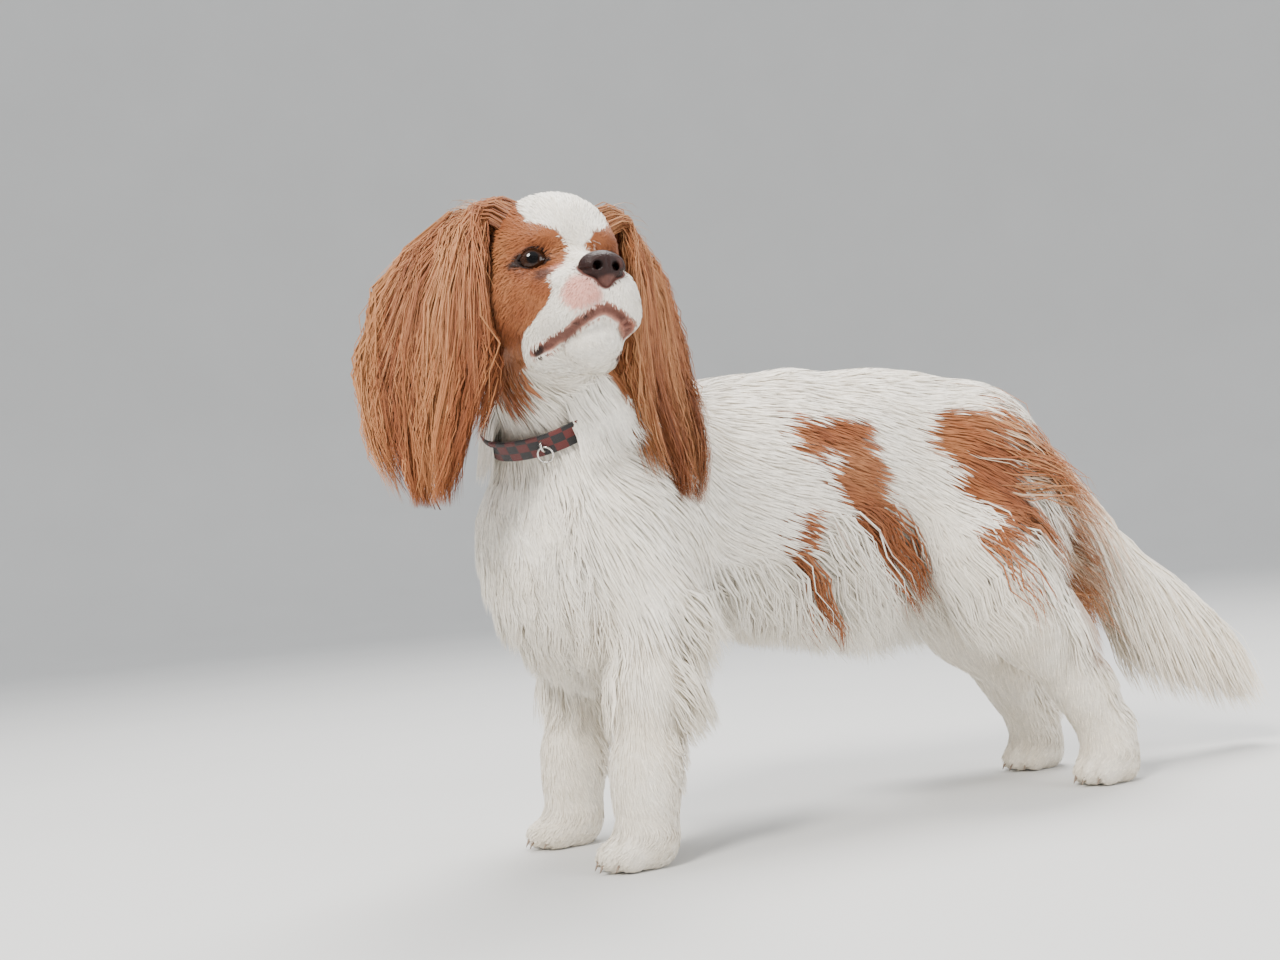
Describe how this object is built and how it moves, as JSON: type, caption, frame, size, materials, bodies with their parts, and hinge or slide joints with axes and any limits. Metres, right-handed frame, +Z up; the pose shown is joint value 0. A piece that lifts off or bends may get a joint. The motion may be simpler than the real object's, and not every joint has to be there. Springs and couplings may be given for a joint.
{
  "type": "cavalier king charles spaniel, standing, life size",
  "caption": "Life-size still model of a small long-eared spaniel with a silky coat, standing on four paws with its head turned to its left and its tail low, in a collar",
  "frame": {"origin": "the middle of the model's bounding box in X and Y, on the floor under the paws", "axes": "+X is the dog's left, -Y is where its body faces, +Z is up"},
  "size_m": [0.2481, 0.7393, 0.4326],
  "materials": {
    "coat_white": "soft white coat",
    "coat_chestnut": "silky chestnut coat",
    "nose_leather": "moist, fine grained",
    "eye": "polished dark brown",
    "collar_strap": "woven, dark red",
    "ring_metal": "worn bright"
  },
  "bodies": {
    "root": {"head": "coat_chestnut", "eye_left": "eye", "eye_right": "eye", "nose": "nose_leather", "neck": "coat_white", "torso": "coat_white", "foreleg_left": "coat_white", "foreleg_right": "coat_white", "hindleg_left": "coat_white", "hindleg_right": "coat_white", "forepaw_left": "coat_white", "forepaw_right": "coat_white", "hindpaw_left": "coat_white", "hindpaw_right": "coat_white", "tail": "coat_white", "ear_left": "coat_chestnut", "ear_right": "coat_chestnut", "collar": "collar_strap", "collar_ring": "ring_metal"}
  },
  "joints": []
}
